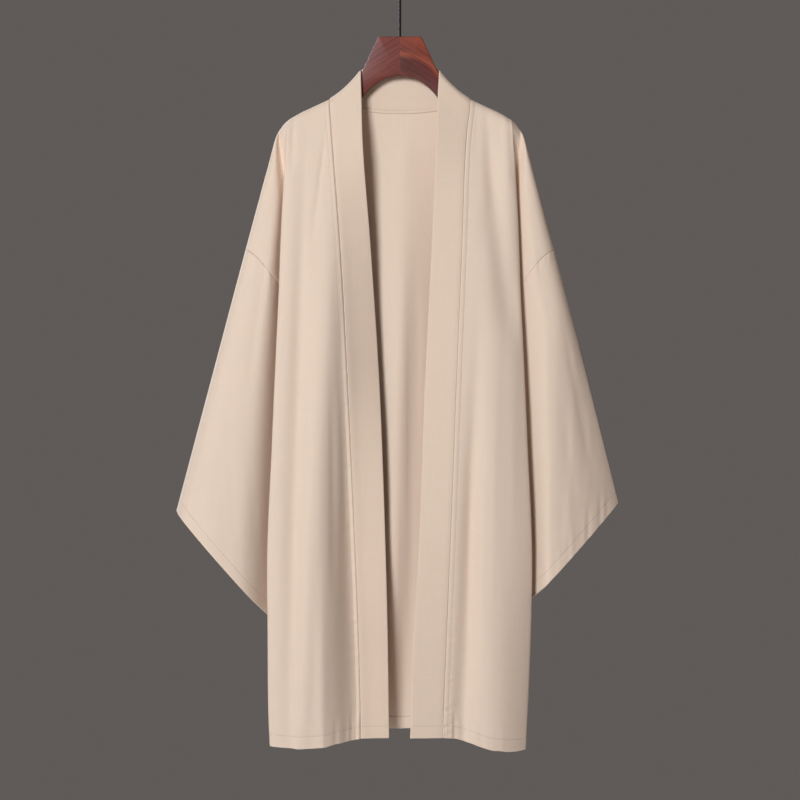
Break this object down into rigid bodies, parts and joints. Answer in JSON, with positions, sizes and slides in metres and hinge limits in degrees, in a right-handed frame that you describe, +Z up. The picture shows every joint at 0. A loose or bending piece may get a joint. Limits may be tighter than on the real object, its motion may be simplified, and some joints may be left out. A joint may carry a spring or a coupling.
{
  "type": "hanfu jacket on a wooden hanger",
  "caption": "Long open-fronted hanfu jacket with a band collar and wide drop-shoulder sleeves, hanging limp on a wooden hanger with a wire hook.",
  "frame": {"origin": "the underside of the hook's bend, where it rests on a rail", "axes": "+Z up along the hook's stem, -Y the way the jacket's front faces, +X towards the wearer's left"},
  "size_m": [0.6239, 0.1077, 1.0956],
  "materials": {
    "woven_cloth": "plain smooth beige weave, matte with a faint sheen",
    "collar_cloth": "the same beige weave, doubled into a flat band",
    "red_brown_wood": "red-brown stained wood with a clear satin lacquer",
    "dark_steel": "blackened steel wire"
  },
  "bodies": {
    "root": {"front_right": "woven_cloth", "front_left": "woven_cloth", "back": "woven_cloth", "sleeve_right": "woven_cloth", "sleeve_left": "woven_cloth", "collar": "collar_cloth", "hanger_right": "red_brown_wood", "hanger_left": "red_brown_wood", "hook": "dark_steel"}
  },
  "joints": []
}
